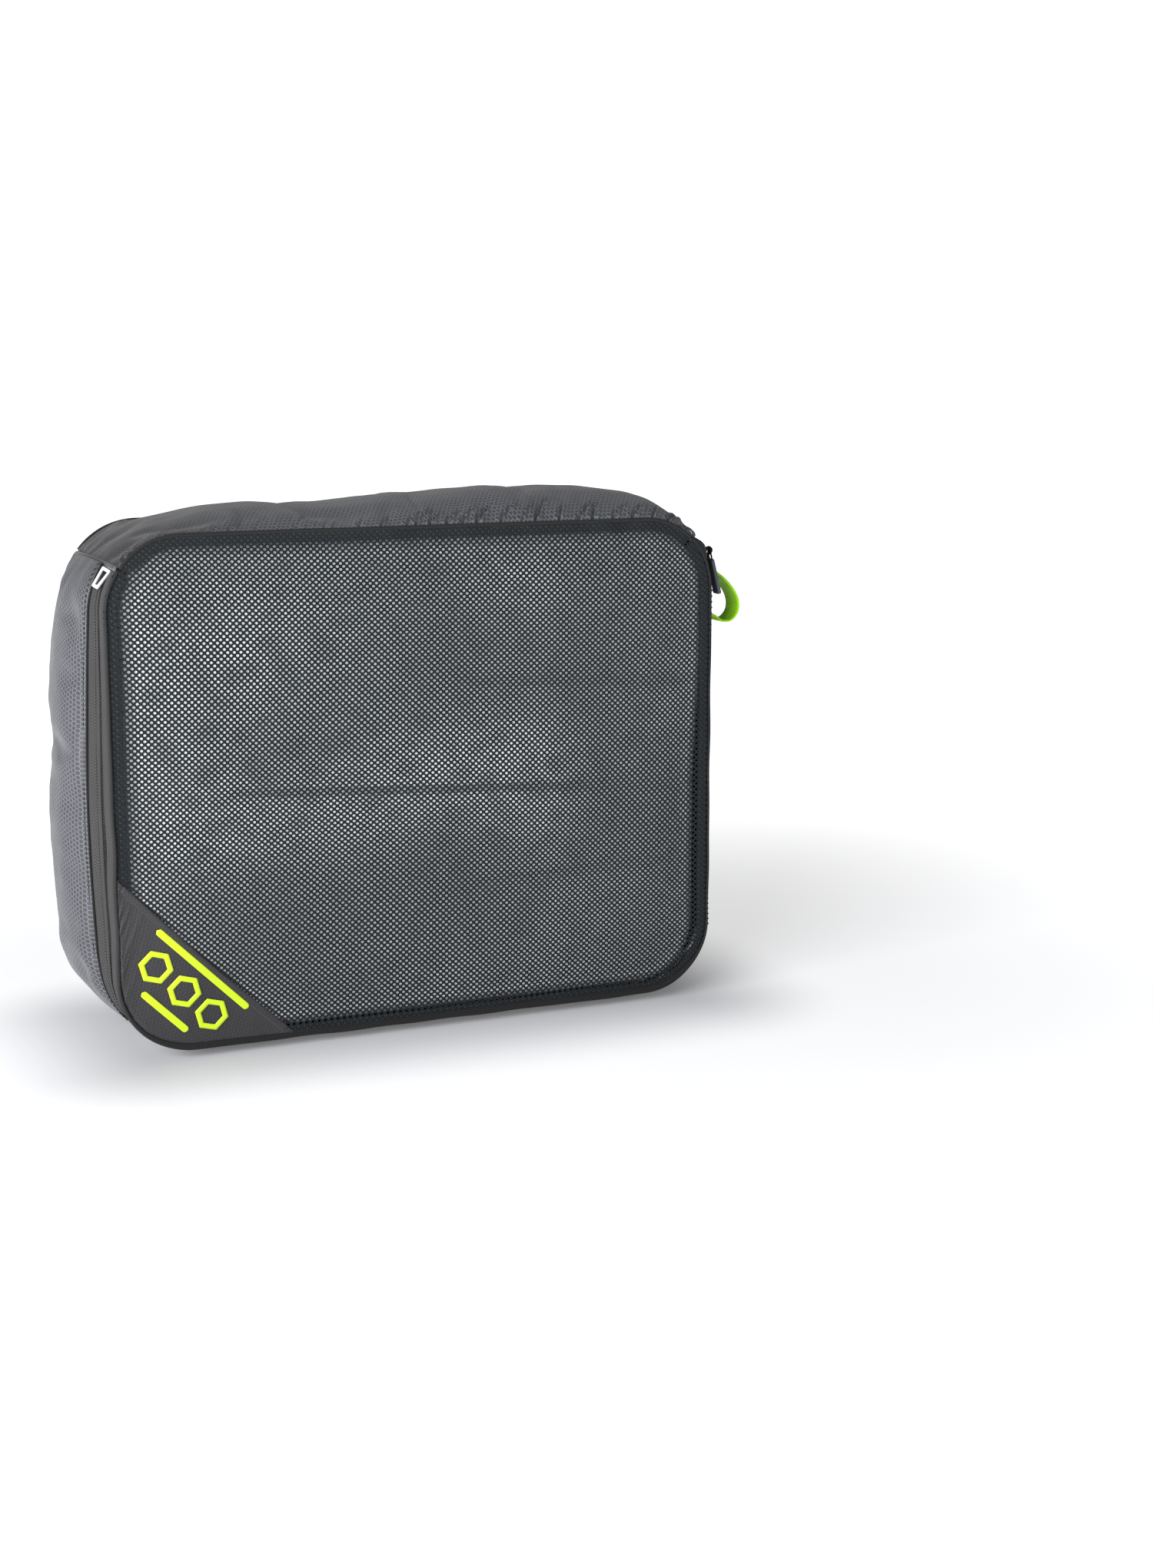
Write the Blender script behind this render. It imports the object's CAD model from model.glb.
import math

import bpy
import numpy as np
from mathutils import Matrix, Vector


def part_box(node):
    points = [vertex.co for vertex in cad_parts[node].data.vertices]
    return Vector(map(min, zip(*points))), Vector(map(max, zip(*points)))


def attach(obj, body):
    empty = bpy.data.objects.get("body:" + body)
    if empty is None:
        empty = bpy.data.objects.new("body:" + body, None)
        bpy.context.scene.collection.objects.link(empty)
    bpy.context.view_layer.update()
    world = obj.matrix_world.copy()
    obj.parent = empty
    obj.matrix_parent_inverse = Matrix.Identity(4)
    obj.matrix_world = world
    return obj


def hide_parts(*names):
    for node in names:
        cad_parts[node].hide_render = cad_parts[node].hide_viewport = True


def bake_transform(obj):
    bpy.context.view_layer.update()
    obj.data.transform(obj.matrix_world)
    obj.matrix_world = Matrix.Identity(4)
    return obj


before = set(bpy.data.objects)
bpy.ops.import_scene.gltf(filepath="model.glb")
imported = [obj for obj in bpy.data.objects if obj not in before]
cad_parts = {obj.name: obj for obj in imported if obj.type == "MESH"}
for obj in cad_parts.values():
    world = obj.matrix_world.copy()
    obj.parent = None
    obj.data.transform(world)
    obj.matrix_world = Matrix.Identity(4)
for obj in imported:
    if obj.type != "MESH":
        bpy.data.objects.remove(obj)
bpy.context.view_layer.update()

mm = 0.001

# the bag's own measures, read from the frame
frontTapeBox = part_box("zip_tape_front")
halfWidth = frontTapeBox[1][0]
frontY = frontTapeBox[0][1]
seamLow = frontTapeBox[0][2]
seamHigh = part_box("top_seam_welt")[1][2] + 0.1 * mm
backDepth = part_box("back_seam_binding")[0][1] - frontY
cornerRadius = 50 * mm

straightX = halfWidth - cornerRadius
upperZ = seamHigh - cornerRadius
lowerZ = seamLow + cornerRadius
arcLength = cornerRadius * math.pi / 2
sideLength = upperZ - lowerZ
baseLength = 2 * straightX

# the cross seams are this many degrees above the level, in the upper left and right corners
crossLeft = 35
crossRight = 45
leftArc = cornerRadius * math.radians(crossLeft)

# seam line pieces, anticlockwise from the upper left cross seam
seamPieces = [
    ("arc", -straightX, upperZ, 180 - crossLeft, leftArc),
    ("line", -halfWidth, upperZ, 180, sideLength),
    ("arc", -straightX, lowerZ, 180, arcLength),
    ("line", -straightX, seamLow, 270, baseLength),
    ("arc", straightX, lowerZ, 270, arcLength),
    ("line", halfWidth, lowerZ, 0, sideLength),
    ("arc", straightX, upperZ, 0, arcLength),
    ("line", straightX, seamHigh, 90, baseLength),
    ("arc", -straightX, upperZ, 90, arcLength - leftArc),
]
loopLength = sum(piece[4] for piece in seamPieces)
lowerLength = sum(piece[4] for piece in seamPieces[:6]) + cornerRadius * math.radians(crossRight)

# how the cloth and the tapes lie, away from a plain rounded box
shellSettings = {
    "cornerInset": 8 * mm,  # the tightest places lie this far in from the lower corners' middles
    "cornerSlack": 0.22,
    "slackFrom": 16 * mm,
    "slackReach": 50 * mm,
    "pinch": 7 * mm,
    "pinchReach": 24 * mm,
    "bow": 4.2 * mm,
    "tuck": 8.5 * mm,
    "tuckReach": 42 * mm,
    "bunch": 4.2 * mm,
    "bunchReach": 8 * mm,
}


def seamAt(u):
    # place and outward direction on the seam line, for an array of lengths along it
    u = np.mod(np.asarray(u, float), loopLength)
    x, z, nx, nz = (np.zeros_like(u) for _ in range(4))
    begin = 0.0
    for kind, px, pz, degrees, length in seamPieces:
        here = (u >= begin - 1e-9) & (u <= begin + length + 1e-9)
        along = u[here] - begin
        if kind == "arc":
            angle = math.radians(degrees) + along / cornerRadius
            nx[here] = np.cos(angle)
            nz[here] = np.sin(angle)
            x[here] = px + cornerRadius * nx[here]
            z[here] = pz + cornerRadius * nz[here]
        else:
            angle = math.radians(degrees)
            nx[here] = math.cos(angle)
            nz[here] = math.sin(angle)
            x[here] = px - math.sin(angle) * along
            z[here] = pz + math.cos(angle) * along
        begin += length
    return x, z, nx, nz


def smooth(t):
    t = np.clip(t, 0, 1)
    return t * t * (3 - 2 * t)


def fromLowerCorner(u):
    # distance along the seam from the nearer lower corner
    inset = shellSettings["cornerInset"]
    firstCorner = leftArc + sideLength + arcLength / 2 + inset
    secondCorner = firstCorner + arcLength + baseLength - 2 * inset
    return np.minimum(np.abs(u - firstCorner), np.abs(u - secondCorner))


def slack(u):
    # how far the cloth stands out: it's drawn tight round the lower corners
    least = shellSettings["cornerSlack"]
    share = smooth((fromLowerCorner(u) - shellSettings["slackFrom"]) / shellSettings["slackReach"])
    return least + (1 - least) * share


def pinch(u, s):
    # behind the front edge the lower corners are pulled in
    near = np.exp(-((fromLowerCorner(u) / shellSettings["pinchReach"]) ** 2))
    return shellSettings["pinch"] * near * smooth(s / (34 * mm)) * smooth((115 * mm - s) / (60 * mm))


def drawIn(u, n):
    free = 1.2 * mm  # what stands out less than this isn't drawn in
    return np.where(n > free, free + (n - free) * slack(u), n)


def pressOnFloor(z):
    # what hangs below the lower seam is pressed flat by the bag's weight
    sink = np.maximum(seamLow - z, 0)
    return np.where(z < seamLow, seamLow * (1 - np.tanh(sink / (8 * mm))), z)


def bow(u, s):
    # the filling pushes the left side's tapes outwards at half height
    share = np.clip((u - 0.3 * leftArc) / (sideLength + arcLength), 0, 1)
    return shellSettings["bow"] * np.sin(math.pi * share) ** 2 * smooth((s - 2 * mm) / (26 * mm))


def tuck(u):
    # the rear tape runs in under the gusset towards the left end tab
    return shellSettings["tuck"] * np.exp(-((u / shellSettings["tuckReach"]) ** 2))


def shellPoints(u, s, n):
    # u along the seam, s behind the front face, n outside the seam line: arrays of one shape
    x, z, nx, nz = seamAt(u)
    n = n + bow(u, s) * smooth((60 * mm - s) / (25 * mm)) - pinch(u, s)
    n = drawIn(u, n)
    # the tapes are bunched up under the right end of the zip
    near = np.exp(-(((u - lowerLength + 10 * mm) / shellSettings["bunchReach"]) ** 2))
    bunch = shellSettings["bunch"] * near * smooth(u / (400 * mm)) * smooth((32 * mm - s) / (12 * mm))
    n = n + bunch * smooth((n + 1 * mm) / (1.5 * mm))
    return np.stack([x + nx * n, frontY + s, pressOnFloor(z + nz * n)], -1)


def insideDistance(x, z):
    # distance inside the seam line, seen from the front
    centreZ = (seamHigh + seamLow) / 2
    qx = np.abs(x) - straightX
    qz = np.abs(z - centreZ) - (seamHigh - seamLow) / 2 + cornerRadius
    outside = np.hypot(np.maximum(qx, 0), np.maximum(qz, 0)) + np.minimum(np.maximum(qx, qz), 0)
    return cornerRadius - outside


def ripple(a, b, seed, scale):
    # smooth, repeatable unevenness between -1 and 1, for arrays of lengths in metres
    rng = np.random.default_rng(seed)
    total = np.zeros(np.broadcast(a, b).shape)
    waves = 7
    for _ in range(waves):
        angle = rng.uniform(0, 2 * math.pi)
        length = scale * rng.uniform(0.6, 1.7)
        phase = rng.uniform(0, 2 * math.pi)
        total = total + np.sin(2 * math.pi * (a * math.cos(angle) + b * math.sin(angle)) / length + phase)
    return total / math.sqrt(2 * waves)


def linkObject(name, data):
    obj = bpy.data.objects.new(name, data)
    bpy.context.scene.collection.objects.link(obj)
    return obj


def newObject(name, vertices, faces, look, flatFaces=0):
    # the last few faces can be kept flat
    mesh = bpy.data.meshes.new(name)
    mesh.from_pydata([tuple(v) for v in vertices], [], [tuple(f) for f in faces])
    mesh.update()
    mesh.materials.append(look)
    mesh.polygons.foreach_set("use_smooth", [True] * (len(faces) - flatFaces) + [False] * flatFaces)
    return linkObject(name, mesh)


def readVectors(items, key):
    values = np.empty(len(items) * 3, np.float32)
    items.foreach_get(key, values)
    return values.reshape(-1, 3)


def gridFaces(rows, columns, closeRows=False, closeColumns=False):
    faces = []
    for i in range(rows if closeRows else rows - 1):
        nextRow = (i + 1) % rows
        for j in range(columns if closeColumns else columns - 1):
            nextColumn = (j + 1) % columns
            faces.append((
                i * columns + j,
                i * columns + nextColumn,
                nextRow * columns + nextColumn,
                nextRow * columns + j,
            ))
    return faces


def endCaps(rows, columns):
    # the two flat ends of a sweep whose columns are closed
    first = tuple(range(columns))[::-1]
    last = tuple((rows - 1) * columns + j for j in range(columns))
    return [first, last]


def addClothMap(obj, values, dark=0.0):
    # lengths along and across the cloth, in metres, that weaves are drawn on, and how dark its dye is
    attribute = obj.data.attributes.new("clothMap", "FLOAT_VECTOR", "POINT")
    flat = np.zeros((len(obj.data.vertices), 3), np.float32)
    flat[:, :2] = values
    flat[:, 2] = dark
    attribute.data.foreach_set("vector", flat.ravel())


def addModifier(obj, kind, **values):
    modifier = obj.modifiers.new(kind.lower(), kind)
    for key, value in values.items():
        setattr(modifier, key, value)


def applyAll(obj):
    graph = bpy.context.evaluated_depsgraph_get()
    mesh = bpy.data.meshes.new_from_object(obj.evaluated_get(graph), depsgraph=graph)
    obj.modifiers.clear()
    obj.data = mesh


def thicken(obj, thickness, offset=-1.0):
    addModifier(obj, "SOLIDIFY", thickness=thickness, offset=offset)
    applyAll(obj)


def subdivide(obj, levels):
    addModifier(obj, "SUBSURF", levels=levels, render_levels=levels)
    applyAll(obj)


def finish(obj, body, nodes):
    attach(obj, body)
    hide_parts(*nodes)


def newGroup(name, inputs, outputs):
    group = bpy.data.node_groups.new(name, "ShaderNodeTree")
    for socketName, socketType, value in inputs:
        socket = group.interface.new_socket(name=socketName, in_out="INPUT", socket_type=socketType)
        if value is not None:
            socket.default_value = value
    for socketName, socketType in outputs:
        group.interface.new_socket(name=socketName, in_out="OUTPUT", socket_type=socketType)
    return group, group.nodes.new("NodeGroupInput"), group.nodes.new("NodeGroupOutput")


def join(tree, source, target):
    tree.links.new(source, target)


def feed(tree, node, values):
    # plain values are set on the node's sockets, and other nodes' outputs are linked to them
    for socket, value in zip(node.inputs, values):
        if isinstance(value, bpy.types.NodeSocket):
            join(tree, value, socket)
        else:
            socket.default_value = value


def mathNode(tree, operation, *values):
    node = tree.nodes.new("ShaderNodeMath")
    node.operation = operation
    feed(tree, node, values)
    return node.outputs[0]


def vectorNode(tree, operation, *values):
    node = tree.nodes.new("ShaderNodeVectorMath")
    node.operation = operation
    feed(tree, node, values)
    return node.outputs["Value" if operation in ("DOT_PRODUCT", "DISTANCE") else "Vector"]


def mapRange(tree, value, low, high, toLow=0.0, toHigh=1.0, kind="SMOOTHSTEP"):
    node = tree.nodes.new("ShaderNodeMapRange")
    node.interpolation_type = kind
    join(tree, value, node.inputs["Value"])
    for name, number in (("From Min", low), ("From Max", high), ("To Min", toLow), ("To Max", toHigh)):
        node.inputs[name].default_value = number
    return node.outputs["Result"]


def noiseNode(tree, vector, scale, detail=3.0, roughness=0.55):
    node = tree.nodes.new("ShaderNodeTexNoise")
    node.inputs["Scale"].default_value = scale
    node.inputs["Detail"].default_value = detail
    node.inputs["Roughness"].default_value = roughness
    join(tree, vector, node.inputs["Vector"])
    return node.outputs["Fac"]


def makeHoneycombWeave():
    # ripstop: a honeycomb of slightly raised threads
    group, entry, leave = newGroup(
        "honeycombWeave",
        [("Vector", "NodeSocketVector", None), ("Cells per metre", "NodeSocketFloat", 450.0)],
        [("Line", "NodeSocketFloat"), ("Thread", "NodeSocketFloat")],
    )
    node = group.nodes.new("ShaderNodeVectorMath")
    node.operation = "SCALE"
    join(group, entry.outputs["Vector"], node.inputs[0])
    join(group, entry.outputs["Cells per metre"], node.inputs["Scale"])
    place = node.outputs["Vector"]
    span = (1.0, 1.732, 1.0)
    halfSpan = (0.5, 0.866, 0.0)
    zero = (0.0, 0.0, 0.0)
    a = vectorNode(group, "SUBTRACT", vectorNode(group, "WRAP", place, span, zero), halfSpan)
    moved = vectorNode(group, "SUBTRACT", place, halfSpan)
    b = vectorNode(group, "SUBTRACT", vectorNode(group, "WRAP", moved, span, zero), halfSpan)
    nearA = mathNode(
        group, "LESS_THAN", vectorNode(group, "DOT_PRODUCT", a, a), vectorNode(group, "DOT_PRODUCT", b, b)
    )
    mix = group.nodes.new("ShaderNodeMix")
    mix.data_type = "VECTOR"
    join(group, nearA, mix.inputs["Factor"])
    join(group, b, mix.inputs[4])
    join(group, a, mix.inputs[5])
    folded = vectorNode(group, "ABSOLUTE", mix.outputs[1])
    slanted = vectorNode(group, "DOT_PRODUCT", folded, (0.5, 0.866, 0.0))
    level = vectorNode(group, "DOT_PRODUCT", folded, (1.0, 0.0, 0.0))
    edge = mathNode(group, "MAXIMUM", slanted, level)
    join(group, mapRange(group, edge, 0.36, 0.49), leave.inputs["Line"])
    # the fine plain weave inside each cell
    split = group.nodes.new("ShaderNodeSeparateXYZ")
    join(group, place, split.inputs[0])
    warp = mathNode(group, "SINE", mathNode(group, "MULTIPLY", split.outputs["X"], 2 * math.pi * 5))
    weft = mathNode(group, "SINE", mathNode(group, "MULTIPLY", split.outputs["Y"], 2 * math.pi * 5))
    thread = mathNode(group, "MULTIPLY", warp, weft)
    join(group, mapRange(group, thread, -1.0, 1.0, kind="LINEAR"), leave.inputs["Thread"])
    return group


def makeTwillWeave():
    # herringbone tape: slanting ribs that turn back in each stripe
    group, entry, leave = newGroup(
        "twillWeave",
        [
            ("Vector", "NodeSocketVector", None),
            ("Ribs per metre", "NodeSocketFloat", 900.0),
            ("Stripe width", "NodeSocketFloat", 0.005),
        ],
        [("Rib", "NodeSocketFloat")],
    )
    split = group.nodes.new("ShaderNodeSeparateXYZ")
    join(group, entry.outputs["Vector"], split.inputs[0])
    across = mathNode(group, "PINGPONG", split.outputs["Y"], entry.outputs["Stripe width"])
    slant = mathNode(group, "ADD", split.outputs["X"], across)
    turns = mathNode(group, "MULTIPLY", slant, entry.outputs["Ribs per metre"])
    wave = mathNode(group, "SINE", mathNode(group, "MULTIPLY", turns, 2 * math.pi))
    join(group, mapRange(group, wave, -0.8, 0.9), leave.inputs["Rib"])
    return group


def makeClothTone():
    # slow change of tone over cloth, and dust on it
    group, entry, leave = newGroup(
        "clothTone",
        [("Vector", "NodeSocketVector", None), ("Amount", "NodeSocketFloat", 0.2)],
        [("Tone", "NodeSocketFloat"), ("Fuzz", "NodeSocketFloat")],
    )
    slow = noiseNode(group, entry.outputs["Vector"], 22.0)
    fine = noiseNode(group, entry.outputs["Vector"], 900.0, 4.0, 0.7)
    slowPart = mathNode(group, "MULTIPLY", slow, 0.7)
    finePart = mathNode(group, "MULTIPLY", fine, 0.3)
    centred = mathNode(group, "SUBTRACT", mathNode(group, "ADD", slowPart, finePart), 0.5)
    scaled = mathNode(group, "MULTIPLY", centred, entry.outputs["Amount"])
    join(group, mathNode(group, "ADD", scaled, 1.0), leave.inputs["Tone"])
    join(group, fine, leave.inputs["Fuzz"])
    return group


honeycombWeave = makeHoneycombWeave()
twillWeave = makeTwillWeave()
clothTone = makeClothTone()


def startMaterial(name, roughness, **sockets):
    look = bpy.data.materials.new(name)
    look.use_nodes = True
    shader = look.node_tree.nodes["Principled BSDF"]
    shader.inputs["Roughness"].default_value = roughness
    for key, value in sockets.items():
        shader.inputs[key.replace("_", " ")].default_value = value
    return look, look.node_tree, shader


def useGroup(tree, group, vector, **values):
    node = tree.nodes.new("ShaderNodeGroup")
    node.node_tree = group
    join(tree, vector, node.inputs["Vector"])
    for key, value in values.items():
        node.inputs[key.replace("_", " ")].default_value = value
    return node


def clothMapOf(tree):
    node = tree.nodes.new("ShaderNodeAttribute")
    node.attribute_name = "clothMap"
    return node.outputs["Vector"]


def objectPlace(tree):
    return tree.nodes.new("ShaderNodeTexCoord").outputs["Object"]


def tint(tree, colour, factor):
    # colour times a value that changes over the surface
    node = tree.nodes.new("ShaderNodeMix")
    node.data_type = "RGBA"
    node.blend_type = "MULTIPLY"
    node.inputs["Factor"].default_value = 1.0
    if isinstance(colour, tuple):
        node.inputs[6].default_value = (*colour, 1)
    else:
        join(tree, colour, node.inputs[6])
    join(tree, factor, node.inputs[7])
    return node.outputs[2]


def blendColours(tree, mask, first, second):
    node = tree.nodes.new("ShaderNodeMix")
    node.data_type = "RGBA"
    join(tree, mask, node.inputs["Factor"])
    node.inputs[6].default_value = (*first, 1)
    node.inputs[7].default_value = (*second, 1)
    return node.outputs[2]


def addBump(tree, shader, height, distance, strength=1.0):
    node = tree.nodes.new("ShaderNodeBump")
    node.inputs["Distance"].default_value = distance
    node.inputs["Strength"].default_value = strength
    join(tree, height, node.inputs["Height"])
    join(tree, node.outputs["Normal"], shader.inputs["Normal"])


def dyeOf(tree, tone):
    # the slow change of tone, and the darker dye kept in the cloth map
    split = tree.nodes.new("ShaderNodeSeparateXYZ")
    join(tree, clothMapOf(tree), split.inputs[0])
    light = mathNode(tree, "SUBTRACT", 1.0, split.outputs["Z"])
    return mathNode(tree, "MULTIPLY", tone.outputs["Tone"], light)


def makeRipstop(name, base, thread, roughness, cellsPerMetre):
    look, tree, shader = startMaterial(name, roughness, Sheen_Weight=0.15, Specular_IOR_Level=0.5)
    lengths = clothMapOf(tree)
    weave = useGroup(tree, honeycombWeave, lengths, Cells_per_metre=cellsPerMetre)
    tone = useGroup(tree, clothTone, objectPlace(tree), Amount=0.45)
    colour = blendColours(tree, weave.outputs["Line"], base, thread)
    join(tree, tint(tree, colour, dyeOf(tree, tone)), shader.inputs["Base Color"])
    height = mathNode(
        tree, "ADD", weave.outputs["Line"], mathNode(tree, "MULTIPLY", weave.outputs["Thread"], 0.35)
    )
    addBump(tree, shader, height, 0.00016, 0.8)
    rough = mapRange(tree, tone.outputs["Fuzz"], 0.2, 0.8, roughness - 0.06, roughness + 0.1)
    join(tree, rough, shader.inputs["Roughness"])
    return look


def makeTapeLook(name, base, rib, roughness, ribsPerMetre, stripe, depth):
    look, tree, shader = startMaterial(name, roughness, Sheen_Weight=0.04, Specular_IOR_Level=0.3)
    weave = useGroup(tree, twillWeave, clothMapOf(tree), Ribs_per_metre=ribsPerMetre, Stripe_width=stripe)
    tone = useGroup(tree, clothTone, objectPlace(tree), Amount=0.5)
    colour = blendColours(tree, weave.outputs["Rib"], base, rib)
    join(tree, tint(tree, colour, dyeOf(tree, tone)), shader.inputs["Base Color"])
    addBump(tree, shader, weave.outputs["Rib"], depth)
    rough = mapRange(tree, tone.outputs["Fuzz"], 0.2, 0.8, roughness - 0.08, roughness + 0.08)
    join(tree, rough, shader.inputs["Roughness"])
    return look


def makeGrained(name, base, roughness, scale, depth, amount=0.3, **sockets):
    # moulded or enamelled finishes and plain threads: fine grain and a little change of tone
    look, tree, shader = startMaterial(name, roughness, **sockets)
    place = objectPlace(tree)
    tone = useGroup(tree, clothTone, place, Amount=amount)
    join(tree, tint(tree, base, tone.outputs["Tone"]), shader.inputs["Base Color"])
    grain = noiseNode(tree, place, scale, 4.0, 0.6)
    addBump(tree, shader, grain, depth)
    rough = mapRange(tree, grain, 0.25, 0.75, roughness - 0.08, roughness + 0.1)
    join(tree, rough, shader.inputs["Roughness"])
    return look


# base and thread colours, roughness, cells in a metre
ripstop = makeRipstop("charcoalRipstop", (0.037, 0.039, 0.047), (0.135, 0.140, 0.158), 0.47, 335.0)
patchCloth = makeRipstop("patchRipstop", (0.012, 0.011, 0.014), (0.024, 0.022, 0.027), 0.55, 380.0)

# base and rib colours, then roughness, ribs in a metre, width of a stripe and height of a rib
zipTapeLook = makeTapeLook(
    "zipTwill", (0.016, 0.0158, 0.016), (0.071, 0.070, 0.072), 0.8, 520.0, 0.0042, 0.0002
)
liningLook = makeTapeLook(
    "seamAllowance", (0.020, 0.025, 0.029), (0.058, 0.068, 0.076), 0.8, 700.0, 0.003, 0.0001
)
edgeTapeLook = makeTapeLook(
    "edgeTape", (0.006, 0.006, 0.006), (0.018, 0.018, 0.019), 0.8, 900.0, 0.003, 0.00012
)
webbingLook = makeTapeLook(
    "limeWebbing", (0.29, 0.70, 0.003), (0.42, 0.86, 0.008), 0.6, 1500.0, 0.0009, 0.00005
)

# colour, roughness, grains in a metre, their height and how much the tone changes
threadLook = makeGrained(
    "blackThread", (0.008, 0.008, 0.009), 0.7, 4000.0, 0.00003, Specular_IOR_Level=0.15
)
coilLook = makeGrained("nylonCoil", (0.012, 0.012, 0.013), 0.45, 2500.0, 0.00002, Specular_IOR_Level=0.3)
silverLook = makeGrained("silverMoulding", (0.62, 0.64, 0.66), 0.38, 3000.0, 0.00002, 0.12)
sliderLook = makeGrained(
    "sliderEnamel", (0.006, 0.0065, 0.008), 0.65, 2000.0, 0.00002, Specular_IOR_Level=0.1
)
pullLook = makeGrained("pullRubber", (0.075, 0.088, 0.105), 0.5, 3000.0, 0.00003)
pullFaceLook = makeGrained("pullFace", (0.17, 0.2, 0.24), 0.42, 3000.0, 0.00002)
inkLook = makeGrained("limeInk", (0.50, 0.70, 0.006), 0.5, 1800.0, 0.00004, 0.18)
laundryLook = makeGrained(
    "laundryCloth", (0.68, 0.71, 0.735), 0.9, 520.0, 0.0008, 0.3, Sheen_Weight=0.2
)

# the mesh's threads are too fine for a pattern of their own
meshLook = startMaterial("meshThread", 0.5, Base_Color=(0.008, 0.0105, 0.0125, 1), Specular_IOR_Level=0.2)[0]


def placeCamera():
    settings = {
        "place": (-0.5079, -1.4436, 0.4494),
        "azimuth": -23.98,
        "elevation": 10.79,
        "lens": 51.94,
    }
    data = bpy.data.cameras.new("camera")
    data.lens = settings["lens"]
    camera = linkObject("camera", data)
    turn = math.radians(settings["azimuth"])
    rise = math.radians(settings["elevation"])
    back = Vector((math.sin(turn) * math.cos(rise), -math.cos(turn) * math.cos(rise), math.sin(rise)))
    camera.rotation_euler = back.to_track_quat("Z", "Y").to_euler()
    camera.location = settings["place"]
    bpy.context.scene.camera = camera


placeCamera()
print("camera placed")


clothSettings = {
    "frames": 20,
    "pressure": 4.0,
    "mass": 0.12,
    "tension": 12.0,
    "bending": 0.35,
    "cap": 4 * mm,  # no place moves further than this
}


def inflate(obj, pinned, growth):
    # lets pressure fill the cloth between its pinned seams, and returns the new places
    start = readVectors(obj.data.vertices, "co")
    group = obj.vertex_groups.new(name="pinned")
    group.add([int(i) for i in np.flatnonzero(pinned)], 1.0, "REPLACE")
    modifier = obj.modifiers.new("cloth", "CLOTH")
    settings = modifier.settings
    settings.quality = 5
    settings.mass = clothSettings["mass"]
    settings.tension_stiffness = clothSettings["tension"]
    settings.compression_stiffness = clothSettings["tension"]
    settings.shear_stiffness = 4
    settings.bending_stiffness = clothSettings["bending"]
    settings.vertex_group_mass = "pinned"
    settings.shrink_min = -growth
    settings.use_pressure = True
    settings.uniform_pressure_force = clothSettings["pressure"]
    settings.effector_weights.gravity = 0
    modifier.collision_settings.use_collision = False
    modifier.point_cache.frame_start = 1
    modifier.point_cache.frame_end = clothSettings["frames"]
    scene = bpy.context.scene
    for number in range(1, clothSettings["frames"] + 1):
        scene.frame_set(number)
    graph = bpy.context.evaluated_depsgraph_get()
    after = readVectors(obj.evaluated_get(graph).to_mesh().vertices, "co")
    obj.modifiers.clear()
    obj.vertex_groups.clear()
    scene.frame_set(1)
    limit = clothSettings["cap"]
    moved = after - start
    length = np.linalg.norm(moved, axis=1, keepdims=True)
    return start + moved * (np.tanh(length / limit) * limit / np.maximum(length, 1e-9))


def setPlaces(obj, places):
    obj.data.vertices.foreach_set("co", np.asarray(places, np.float32).ravel())
    obj.data.update()


gussetSettings = {
    "sideSteps": (4.8 * mm, 4.8 * mm),
    "topSteps": (3.4 * mm, 6.8 * mm),
    "sideStart": 29.2 * mm,
    "sideStartOut": 4.8 * mm,
    "topStart": 2.6 * mm,
    "topStartOut": -0.4 * mm,
    "sideCrown": 15.5 * mm,
    "topCrown": 7.2 * mm,
    "fuller": 10.0 * mm,  # added over the right half of the top
    "cornerDip": 11.2 * mm,
    "topDip": 7.0 * mm,
    "growth": 0.025,  # spare cloth that turns into puckers
    "thickness": 0.5 * mm,
    "topDark": 0.78,  # the upper left corner is deeper in dye and shade
    "topDarkReach": 70 * mm,
    "sideDark": 0.35,
    "sideDarkReach": 18 * mm,
}


def pillow(t, power=0.52):
    return np.power(np.clip(4 * t * (1 - t), 0, 1), power)


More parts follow.
